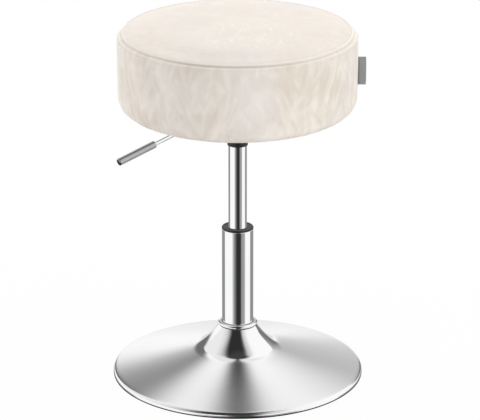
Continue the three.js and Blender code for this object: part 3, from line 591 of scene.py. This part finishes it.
grip_radius, grip_bore, grip_length, grip_end = 5.5, 3.3, 66.0, 4.7
sleeve = [(0.0, 0.0), (grip_radius, 0.0), (grip_radius, grip_length), (grip_bore, grip_length),
          (grip_bore, grip_end), (0.0, grip_end)]
points, faces = turned(broken(sleeve, 1.5, closed=False), 64)
tip = (Matrix.Translation((tip_reach, 0, lever_height - lever_drop))
       @ Matrix.Rotation(slope - math.pi / 2, 4, "Y"))
points = [lever_turn @ tip @ Vector(p) for p in points]
# The sleeve's chrome is blended about halfway to black: a painted dark reflection.
satin = Finish(bpy.data.materials.new("chrome_sleeve_painted_dark"))
where = satin.place()
handling_and_reflection_mottle = satin.noise(where, 90.0, 3.0)
painted_dark_reflection = 0.48 + 0.08 * handling_and_reflection_mottle
grip_finish = satin.finished(
    Base_Color=satin.blended(painted_dark_reflection, chrome_tints(satin, where), (0.02, 0.02, 0.02, 1.0)),
    Metallic=1.0,
    Roughness=0.11 + 0.05 * handling_and_reflection_mottle,
)
grip = piece("lever_grip_sleeve", points, faces, grip_finish)
seated(grip, "lever", "chrome", "lever_grip")


# Seat board
# A 12 mm disc of birch plywood, drilled for the four tee nuts. The cover is pulled over
# its edge and stapled underneath.
ply = Finish(bpy.data.materials.new("birch_plywood"))
where = ply.place()
rings = ply.noise(ply.scaled(where, (4.0, 60.0, 60.0)), 3.0, 4.0, 0.6, 0.8)
plies = ply.node("ShaderNodeTexWave", {"bands_direction": "Z"},
                 {"Vector": where, "Scale": 105.0, "Distortion": 0.4}, output="Fac")
grain_tone = ply.ramp(rings, [(0.3, (0.46, 0.29, 0.14)), (0.7, (0.66, 0.47, 0.27))])
board_finish = ply.finished(
    Base_Color=ply.blended(plies * 0.35, grain_tone, (0.30, 0.17, 0.08, 1.0)),
    Roughness=0.6 + 0.2 * rings,
    Normal=ply.bump(rings, 0.2, 0.0006),
)
dressed(board_finish, "seat_board")


# Cushion
# A round of foam under a cream velvet with a silky, uneven pile. The top panel is sewn to
# the side band, the seam is pressed open and stitched on both sides, and the band is drawn
# in under the board, where it gathers.
velvet = Finish(bpy.data.materials.new("cream_velvet"))
where = velvet.place()
east, north, height = (velvet.split(where, axis) for axis in ("X", "Y", "Z"))
out = velvet.radius(where)
side_radius = 0.181
around = velvet.maths("ARCTAN2", north, east) * side_radius
on_top = velvet.eased(height, 0.5440, 0.5455)
drift = velvet.noise(where, 11.0, 1.0) - 0.5


def strokes(lean, wide, long, shift):
    """Feathery strokes where the pile lies over to one side, wide and long in metres."""
    across = (around * math.cos(lean) + height * math.sin(lean) + drift * 0.012) / wide
    down = (height * math.cos(lean) - around * math.sin(lean)) / long
    return velvet.noise(velvet.joined(across, down, out * 6.0 + shift), 1.0, 1.6, 0.5, 0.4)


leans_left = strokes(math.radians(-20), 0.0120, 0.034, 0.0)
leans_right = strokes(math.radians(17), 0.0135, 0.038, 7.0)
which = velvet.eased(velvet.noise(where, 22.0, 1.0), 0.44, 0.56)
pile_lay = leans_left + which * (leans_right - leans_left)
blotches = velvet.noise(where, 15.0, 2.0, 0.5)
side_tone = velvet.eased(0.58 * pile_lay + 0.42 * blotches, 0.28, 0.72)
crushed = velvet.noise(where, 42.0, 4.0, 0.62, 1.4)
fleck_place = velvet.joined(east * 190.0 + north * 60.0, north * 48.0 - east * 30.0, height * 40.0)
flecks = velvet.eased(velvet.noise(fleck_place, 1.0, 2.0, 0.55, 1.2), 0.57, 0.68)
# The pile on the top panel is flecked where it has been pressed.
sat_east, sat_north = east - 0.025, north + 0.06
from_sat_on = velvet.maths("SQRT", sat_east * sat_east + sat_north * sat_north)
ragged = velvet.noise(where, 16.0, 1.0) * 0.08
fleck_zone = velvet.eased(from_sat_on + ragged, 0.07, 0.14, 1.0, 0.12)
top_tone = velvet.eased(0.6 * crushed + 0.4 * blotches, 0.36, 0.66)
side_colour = velvet.blended(side_tone, tone(229, 218, 205), tone(251, 243, 234))
top_colour = velvet.blended(top_tone, tone(242, 232, 222), tone(247, 239, 230))
top_colour = velvet.blended(flecks * fleck_zone * 0.9, top_colour, tone(255, 251, 244))
cover_colour = velvet.blended(on_top, side_colour, top_colour)
# Tall cool grey patches over the whole cover are painted sheen.
cool_sheen = velvet.noise(velvet.scaled(where, (1.0, 1.0, 0.3)), 10.0, 1.0)
cover_colour = velvet.blended(velvet.eased(cool_sheen, 0.45, 0.7) * 0.3, cover_colour, tone(234, 232, 233))
# The stitched seam stands up in two ridges, with a groove between them: the ridges get a painted
# highlight, and the groove a painted shadow that fades towards the left and the right.
upper_ridge = velvet.eased(height, 0.5466, 0.5477) * velvet.eased(out, 0.1702, 0.1712)
lower_ridge = velvet.eased(height, 0.5412, 0.5421) * velvet.eased(height, 0.5429, 0.5436, 1.0, 0.0)
groove = velvet.eased(height, 0.5435, 0.5441) * velvet.eased(height, 0.5456, 0.5464, 1.0, 0.0)
by_seam = velvet.eased(out, 0.166, 0.169)
groove_shadow_fade = velvet.eased(east, 0.02, 0.10, 1.0, 0.3) * velvet.eased(east, -0.15, -0.05, 0.45, 1.0)
ridge_highlight = (upper_ridge + lower_ridge * 0.6) * by_seam * 0.75
groove_shadow = groove * by_seam * groove_shadow_fade * 0.42
cover_colour = velvet.blended(ridge_highlight, cover_colour, tone(255, 249, 241))
cover_colour = velvet.blended(groove_shadow, cover_colour, tone(176, 160, 144))
# The band gathers into tucks where it is drawn in under the board; the tucks and the lower edge of the
# band are darkened by painted shade.
tucks = velvet.noise(velvet.joined(around * 210.0, height * 9.0, 0.0), 1.0, 2.0)
tucked = velvet.eased(height, 0.4245, 0.4400, 1.0, 0.0)
tuck_shade = tucked * velvet.eased(tucks, 0.35, 0.65, 0.8, 0.2) * 0.5
cover_colour = velvet.blended(tuck_shade, cover_colour, tone(196, 180, 162))
pile = velvet.noise(where, 2600.0, 2.0)
lay = side_tone + (top_tone - side_tone) * on_top
cover_finish = velvet.finished(
    Base_Color=cover_colour,
    Roughness=0.80 + 0.1 * lay,
    Sheen_Weight=0.3,
    Sheen_Roughness=0.4,
    Sheen_Tint=(1.0, 0.97, 0.94, 1.0),
    Specular_IOR_Level=0.2,
    Normal=velvet.bump(pile, 0.2, 0.0006, velvet.bump(lay + tucked * tucks, 0.3, 0.0012)),
)

board_top, board_under, board_reach = 439.6, 427.0, 158.4
hem_reach, hem_level, crown = 139.75, 424.5, 555.4
over_board = [(reach, board_top) for reach in (0.0, 40.0, 80.0, 120.0, board_reach)]
round_board = [(board_reach, 433.0), (board_reach, board_under), (150.0, board_under),
               (140.0, board_under), (hem_reach, 426.6), (hem_reach, 424.9)]
under_line = [(reach, hem_level) for reach in (140.2, 144.0, 148.0, 152.0, 155.0)]
corner_line = arc((157.0, 450.5), 22.2, 26.0, -90, 0, 12)
side_line = along([(179.2, 450.5), (179.6, 475.0), (179.8, 500.0), (179.9, 520.0),
                   (180.0, 530.0), (179.9, 535.0), (179.7, 538.0), (179.4, 539.8),
                   (178.9, 541.3), (177.9, 542.6), (176.6, 543.4), (175.4, 543.7),
                   (174.4, 544.3), (173.8, 545.4), (173.5, 546.7), (172.7, 547.9),
                   (171.3, 548.5), (169.6, 548.6)], 2.0)
top_line = along([(169.6, 548.4), (166.0, 548.7), (162.0, 549.0), (157.0, 549.4), (151.0, 550.6),
                  (144.0, 552.4), (136.0, 554.2), (128.0, 555.1),
                  *((reach, crown) for reach in (115.0, 90.0, 60.0, 30.0, 0.0))], 5.0)
outline = [*over_board, *round_board, *under_line, *corner_line[:-1], *side_line[:-1],
           *top_line[:-1], (0.0, crown)]
points, faces = turned([tuple(map(float, p)) for p in outline], 180)
cushion = piece("seat_cushion", points, faces, cover_finish, crisp=180)


def is_held(x, y, z):
    """Where the cover can't swell: on the board, at its hem, and where the seam is stitched."""
    reach = math.hypot(x, y)
    on_board = z < hem_level + 0.3 or reach < board_reach + 0.2 and z < board_top + 0.4
    return on_board or reach > 168.0 and z > 538.5


# The foam presses the cover out: a cloth that is held at the board and at the seam swells
# under a little pressure.
at_rest = [v.co.copy() for v in cushion.data.vertices]
seam_foot, top_from = 0.5386, 0.545
held = cushion.vertex_groups.new(name="held")
for i, point in enumerate(points):
    held.add([i], float(is_held(*point)), "REPLACE")
last_frame = 20
swelling = cushion.modifiers.new("swelling", "CLOTH")
swelling.settings.quality = 5
swelling.settings.mass = 0.3
swelling.settings.use_pressure = True
swelling.settings.uniform_pressure_force = 4.0
swelling.settings.vertex_group_mass = "held"
swelling.settings.effector_weights.gravity = 0.0
swelling.settings.shrink_min = -0.012
swelling.point_cache.frame_start = 1
swelling.point_cache.frame_end = last_frame
for frame_number in range(1, last_frame + 1):
    bpy.context.scene.frame_set(frame_number)
swollen = cushion.evaluated_get(bpy.context.evaluated_depsgraph_get()).data
moved = [v.co.copy() for v in swollen.vertices]
cushion.modifiers.remove(swelling)
bpy.context.scene.frame_set(1)

# The cover is too tight to swell far, and the side seam with the tab pulls it in a little.
side_cap, top_cap = 0.0022, 0.0032
pull_depth, pull_width, round_reach = 0.0014, 2.2, 180.0
for vertex, before, after in zip(cushion.data.vertices, at_rest, moved):
    swell = after - before
    cap = top_cap if before.z > top_from else side_cap
    vertex.co = before + swell * (cap / (cap + swell.length))
    from_side_seam = abs(math.atan2(before.y, before.x)) * round_reach
    if before.z < seam_foot and before.x > 0.14:
        flat = Vector((before.x, before.y, 0)).normalized()
        vertex.co -= flat * pull_depth * math.exp(-((from_side_seam / pull_width) ** 2))
finer = cushion.modifiers.new("finer", "SUBSURF")
finer.levels = finer.render_levels = 1
seated(cushion, "seat", "velvet", "cover_top", "cover_band", "foam_core")

cord_radius = 1.2
cord_line = arc((173.6, 543.6), cord_radius, cord_radius, 0, 330, 11)
cord = piece("seam_cord", *turned(cord_line, 240), cover_finish)
seated(cord, "seat", "velvet", "welt")

thread = Finish(bpy.data.materials.new("cream_thread"))
where = thread.place()
twist = thread.noise(where, 1800.0, 2.0)
thread_finish = thread.finished(
    Base_Color=thread.ramp(twist, [(0.3, tone(236, 224, 210)[:3]), (0.7, tone(250, 242, 232)[:3])]),
    Roughness=0.55 + 0.2 * twist,
    Sheen_Weight=0.1,
    Normal=thread.bump(twist, 0.3, 0.0003),
)
stitch_pitch, stitch_share, thread_radius = 4.2, 0.68, 0.32
stitch_rise, stitch_sink, steps, corners = 0.42, 0.12, 4, 6
top_row, side_row = (170.3, 548.75), (179.75, 539.4)
points, faces = [], []
for reach, level in (top_row, side_row):
    on_panel = (reach, level) == top_row
    count = round(2 * math.pi * reach / stitch_pitch)
    for k in range(count):
        start = len(points)
        for step in range(steps + 1):
            share = step / steps - 0.5
            angle = 2 * math.pi * (k + stitch_share * share) / count
            proud = stitch_rise * math.cos(math.pi * share) - stitch_sink
            for corner in range(corners):
                a = 2 * math.pi * corner / corners
                r = reach + (0.0 if on_panel else proud) + thread_radius * math.cos(a)
                z = level + (proud if on_panel else 0.0) + thread_radius * math.sin(a)
                points.append((r * math.cos(angle), r * math.sin(angle), z))
        for step in range(steps):
            low = start + step * corners
            for corner in range(corners):
                m = (corner + 1) % corners
                faces.append([low + corner, low + m, low + corners + m, low + corners + corner])
        faces.append([start + c for c in range(corners)])
        faces.append([start + steps * corners + c for c in reversed(range(corners))])
stitching = piece("seam_topstitch", points, faces, thread_finish)
seated(stitching, "seat", "velvet")


# Fabric tab
# A short grey satin ribbon, folded double and sewn into the side seam of the cover with
# its two ends inside, so that its fold stands out. It is left bare.
ribbon = Finish(bpy.data.materials.new("grey_ribbon"))
where = ribbon.place()
reach = ribbon.split(where, "X")
picks = ribbon.node("ShaderNodeTexWave", {"bands_direction": "Z"},
                    {"Vector": where, "Scale": 700.0, "Distortion": 0.6}, output="Fac")
slubs = ribbon.noise(where, 260.0, 3.0)
# Where the ribbon goes into the seam it darkens towards black: painted shade.
root = ribbon.eased(reach, 0.1805, 0.1845, 1.0, 0.0)
ribbon_tone = ribbon.ramp(0.5 * picks + 0.5 * slubs, [(0.3, (0.26, 0.26, 0.265)),
                                                      (0.7, (0.36, 0.36, 0.37))])
tab_finish = ribbon.finished(
    Base_Color=ribbon.blended(root * 0.75, ribbon_tone, (0.05, 0.05, 0.052, 1.0)),
    Roughness=0.62 + 0.15 * slubs,
    Sheen_Weight=0.2,
    Normal=ribbon.bump(picks, 0.3, 0.0003),
)
tab_reaches, fold_reach = (180.6, 185.0, 189.0), 192.25
fold_outer, fold_inner = 1.05, 0.35
tab_root, tab_length, tab_middle, tab_half = 181.3, 12.0, 486.0, 21.5


def folded(half, turned_back):
    """One face of the doubled ribbon seen from above, round its fold and back."""
    way_out = [(reach, -half) for reach in tab_reaches]
    way_back = [(reach, half) for reach in reversed(tab_reaches)]
    line = [*way_out, *arc((fold_reach, 0.0), half, half, -90, 90, 12), *way_back]
    return list(reversed(line)) if turned_back else line


outer_fold = folded(fold_outer, False)
fold = [*outer_fold, *folded(fold_inner, True)]
heights = np.linspace(tab_middle - tab_half, tab_middle + tab_half, 24)
points, faces, count = [], [], len(fold)
for z in heights:
    share = (z - tab_middle) / tab_half
    for x, y in fold:
        outward = 0.5 * (x - tab_root) / tab_length
        points.append((x - outward * share**4, y + outward * math.sin(2.2 * share), z))
for i in range(len(heights) - 1):
    for k in range(count):
        m = (k + 1) % count
        faces.append([i * count + k, i * count + m, (i + 1) * count + m, (i + 1) * count + k])
half = len(outer_fold)
for level in (0, len(heights) - 1):
    for k in range(half - 1):
        quad = [level * count + k, level * count + k + 1,
                level * count + count - 2 - k, level * count + count - 1 - k]
        faces.append(quad if level else list(reversed(quad)))
tab = piece("ribbon_tab", points, faces, tab_finish, crisp=50)
seated(tab, "seat", "tag_ribbon", "label_tag")


# Dust cloth
# A disc of thin black non-woven cloth that closes the underside. It lies between the plate
# and the board, laps over the hem, and is stapled round its edge.
felt = Finish(bpy.data.materials.new("black_dust_cloth"))
where = felt.place()
dimples = felt.node("ShaderNodeTexVoronoi", None, {"Vector": where, "Scale": 420.0}, output="Distance")
fibres = felt.noise(where, 300.0, 4.0, 0.7, 1.0)
cloth_finish = felt.finished(
    Base_Color=felt.ramp(fibres, [(0.3, (0.007, 0.007, 0.008)), (0.75, (0.022, 0.022, 0.024))]),
    Roughness=0.85 + 0.1 * fibres,
    Sheen_Weight=0.1,
    Normal=felt.bump(dimples, 0.4, 0.0005),
)
cloth_under, cloth_top, lap_top = 426.2, 427.0, 424.2
flat_reaches = (0.0, 60.0, 110.0)
lap_under = along([(134.45, cloth_under), (137.0, 425.2), (139.5, 423.5), (143.0, 423.35),
                   (148.7, 423.4)], 2.0)
lap_over = along([(143.0, lap_top), (139.4, lap_top), (136.8, 425.8), (134.3, cloth_top)], 2.0)
cloth_line = [*((reach, cloth_under) for reach in flat_reaches), *lap_under, (148.9, 423.8),
              (148.7, lap_top), *lap_over, *((reach, cloth_top) for reach in reversed(flat_reaches))]
cloth_points, cloth_faces = turned([tuple(map(float, p)) for p in cloth_line], 180)
cloth = piece("dust_cloth_disc", cloth_points, cloth_faces, cloth_finish)
seated(cloth, "seat", "dust_cloth", "dust_cover")

staple_count, staple_reach = 30, 144.5
staple = [(side * half_long, end * half_wide, level)
          for half_long, half_wide, level in ((5.5, 0.6, 423.25), (5.1, 0.45, 422.8))
          for side, end in ((-1, 1), (1, 1), (1, -1), (-1, -1))]
points, faces = [], []
for turn in range(staple_count):
    off_line, askew = 2.5 * math.sin(5 * turn), 9 * math.sin(3.7 * turn)
    spin = Matrix.Rotation(math.radians(360 / staple_count * turn + off_line), 3, "Z")
    tilt = Matrix.Rotation(math.radians(90 + askew), 3, "Z")
    start = len(points)
    points.extend(spin @ (tilt @ Vector(p) + Vector((staple_reach, 0, 0))) for p in staple)
    faces.extend([start + k for k in quad] for quad in
                 ((0, 1, 2, 3), (7, 6, 5, 4), (0, 4, 5, 1), (1, 5, 6, 2), (2, 6, 7, 3), (3, 7, 4, 0)))
staples = piece("cloth_staples", points, faces, zinc_finish)
seated(staples, "seat", "zinc_steel")


# Studio
# A white floor in plain soft light. The chrome mirrors a white room, with dark flags in
# front of the stool and grey ones behind it, which draw the bands down the plating. It
# mirrors the base too, and none of the stool's other pieces.
floor_finish = Finish(bpy.data.materials.new("white_floor"))


def seen(finish):
    """Masks of what the camera sees in all, straight or by way of metal or glass, and straight."""
    camera_ray, glossy_ray, glass_ray = (
        finish.node("ShaderNodeLightPath", output=f"Is {kind} Ray")
        for kind in ("Camera", "Glossy", "Transmission")
    )
    return camera_ray + glossy_ray + glass_ray, camera_ray


pure_white = (1.0, 1.0, 1.0, 1.0)
floor_seen, _ = seen(floor_finish)
matt = floor_finish.node("ShaderNodeBsdfDiffuse", None, {"Color": (0.86, 0.86, 0.86, 1.0)})
white = floor_finish.node("ShaderNodeEmission", None, {"Color": pure_white, "Strength": 1.0})
mixed = floor_finish.node("ShaderNodeMixShader", None, {0: floor_seen * 0.95, 1: matt, 2: white})
floor_finish.node("ShaderNodeOutputMaterial", None, {"Surface": mixed})
floor_half, floor_level = 9000, -0.2
floor_corners = [(x * floor_half, y * floor_half, floor_level)
                 for x, y in ((-1, -1), (1, -1), (1, 1), (-1, 1))]
floor = piece("floor", floor_corners, [[0, 1, 2, 3]], floor_finish.owner)
floor.visible_glossy = False
floor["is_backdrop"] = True
for made in bpy.context.scene.objects:
    if made.type == "MESH" and made not in (base, trim, ring):
        made.visible_glossy = False

world = bpy.data.worlds.new("studio")
bpy.context.scene.world = world
room = Finish(world)
way = room.node("ShaderNodeTexCoord", output="Generated")
aside, ahead, rise = (room.split(way, axis) for axis in ("X", "Y", "Z"))
bearing = room.maths("ARCTAN2", aside, 0 - ahead) * (180 / math.pi)
lift = room.maths("ARCSINE", rise) * (180 / math.pi)
turn_off = room.maths("ABSOLUTE", bearing)


def by_lift(*stops):
    """A share that goes with the height over the horizon, given at some heights in degrees."""
    return room.ramp((lift + 90) / 180, [((d + 90) / 180, (v, v, v)) for d, v in stops])


def by_bearing(angle, *stops):
    """A share that goes with the bearing, given at some bearings in degrees."""
    return room.ramp((angle + 180) / 360, [((d + 180) / 360, (v, v, v)) for d, v in stops])


# Flags in front of the stool. The tubes mirror the low ones, and the neck the high ones.
flag_low = by_bearing(bearing, (-45, 1.0), (-40, 0.88), (-33, 0.5), (-27, 0.33), (-19, 0.2),
                      (-12, 0.1), (-5, 0.03), (20, 0.03), (25, 0.12), (30, 0.33), (50, 0.35),
                      (55, 0.6), (60, 1.0))
flag_mid = by_bearing(bearing, (-16, 1.0), (-10, 0.5), (-6, 0.05), (13, 0.04), (17, 0.4), (24, 1.0))
on_right = room.eased(aside, -0.12, 0.12)
left_squeeze = by_lift((45, 1.0), (51, 0.9), (57, 0.79), (63, 0.68), (69, 0.59), (80, 0.45))
right_squeeze = by_lift((45, 1.0), (51, 0.88), (57, 0.74), (63, 0.595), (69, 0.444), (80, 0.35))
slid = bearing * (left_squeeze + on_right * (right_squeeze - left_squeeze))
flag_high = by_bearing(slid, (-96, 0.87), (-78, 0.77), (-66, 0.65), (-54, 0.42), (-42, 0.12),
                       (-34, 0.028), (12, 0.028), (18, 0.06), (24, 0.25), (30, 0.58), (42, 0.74),
                       (54, 0.94), (66, 1.0))
flags = room.eased(lift, -14, -6) * (flag_mid - flag_low) + flag_low
flags = flags + room.eased(lift, 12, 24) * (flag_high - flags)
# The far side of the room, which the dish mirrors, on the left and on the right.
left_far = by_lift((-40, 0.04), (-24, 0.28), (-17, 0.3), (-10, 0.75), (-3, 0.9), (3, 1.0), (14, 1.0),
                   (20, 0.74), (24, 0.55), (30, 0.46), (36, 0.34), (41, 0.6), (46, 0.95), (50, 1.0),
                   (58, 0.8))
right_far = by_lift((-40, 0.04), (-24, 0.28), (-17, 0.3), (-10, 0.8), (-4, 0.97), (1, 0.95), (7, 0.68),
                    (13, 0.58), (19, 0.53), (25, 0.5), (31, 0.62), (37, 0.78), (43, 0.9), (48, 1.0),
                    (58, 0.82))
# The bearing at which the far side takes over from the flags, and a grey band beside it.
left_edge = 180 * by_lift((-17, 0.6), (-9, 0.93), (-3, 0.87), (9, 0.805), (15, 0.783), (21, 0.767),
                          (33, 0.762), (39, 0.778))
right_edge = 180 * by_lift((-17, 0.585), (-9, 0.88), (-3, 0.80), (3, 0.74), (9, 0.74), (15, 0.71),
                           (21, 0.75), (33, 0.80))
left_depth = by_lift((-19, 0.0), (-14, 1.0), (39, 1.0), (46, 0.0))
right_depth = by_lift((-19, 0.0), (-14, 0.95), (9, 0.95), (15, 0.7), (21, 0.35), (30, 0.0))
edge = left_edge + on_right * (right_edge - left_edge)
far_side = left_far + on_right * (right_far - left_far)
depth = left_depth + on_right * (right_depth - left_depth)
band = depth * room.eased(turn_off, 160, 167, 1.0, 0.0)
far_side = far_side + band * (0.16 - far_side)
strip = room.eased(turn_off, 171.5, 178, 0.0, 0.97) * room.eased(lift, 34, 42)
far_side = far_side * (1 - strip)
mirrored = flags + room.eased(turn_off - edge, -3, 4) * (far_side - flags)
mirrored = mirrored + room.eased(lift, 69, 79) * (0.05 - mirrored)
under = room.eased(lift, -36, -26)
beside = room.eased(bearing, 84, 90) * room.eased(bearing, 104, 112, 1.0, 0.0)
deep = 0.03 + beside * 0.8
mirrored = deep + under * (mirrored - deep)
room_seen, straight = seen(room)
plain_level = 0.61
strength = plain_level + room_seen * (mirrored - plain_level) + straight * (1 - mirrored)
sky = room.node("ShaderNodeBackground", None, {"Color": pure_white, "Strength": strength})
room.node("ShaderNodeOutputWorld", None, {"Surface": sky})


def lamp(name, size, power, place, aim):
    """A soft rectangular lamp that looks at a point, and isn't mirrored in the plating."""
    data = bpy.data.lights.new(name, "AREA")
    data.shape, data.size, data.size_y, data.energy = "RECTANGLE", size[0], size[1], power
    made = bpy.data.objects.new(name, data)
    made.location = place
    made.rotation_euler = (Vector(aim) - Vector(place)).to_track_quat("-Z", "Y").to_euler()
    made.visible_glossy = False
    made.visible_camera = False
    bpy.context.scene.collection.objects.link(made)


lamp("overhead", (2.4, 2.4), 9.0, (0.0, 0.2, 2.6), (0, 0, 0.4))
lamp("behind", (2.0, 1.4), 36.0, (0.9, 2.3, 2.0), (0, 0, 0.5))
lamp("right_fill", (1.4, 1.6), 18.0, (1.7, -2.0, 0.7), (0, 0, 0.45))
lamp("left_fill", (1.4, 1.6), 30.0, (-2.45, 0.9, 0.4), (0, 0, 0.45))

looks_down = 19.78
camera = bpy.data.objects.new("camera", bpy.data.cameras.new("camera"))
camera.data.sensor_width = 36.0
camera.data.lens = 234.98
camera.data.clip_end = 100.0
camera.location = (0.0036, -4.5, 1.8817)
camera.rotation_euler = (math.radians(90 - looks_down), 0.0, 0.0)
bpy.context.scene.collection.objects.link(camera)
bpy.context.scene.camera = camera
bpy.context.scene.view_settings.view_transform = "Standard"


# Sizes
# The box round the stool as it is shown, without the floor.
low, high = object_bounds()
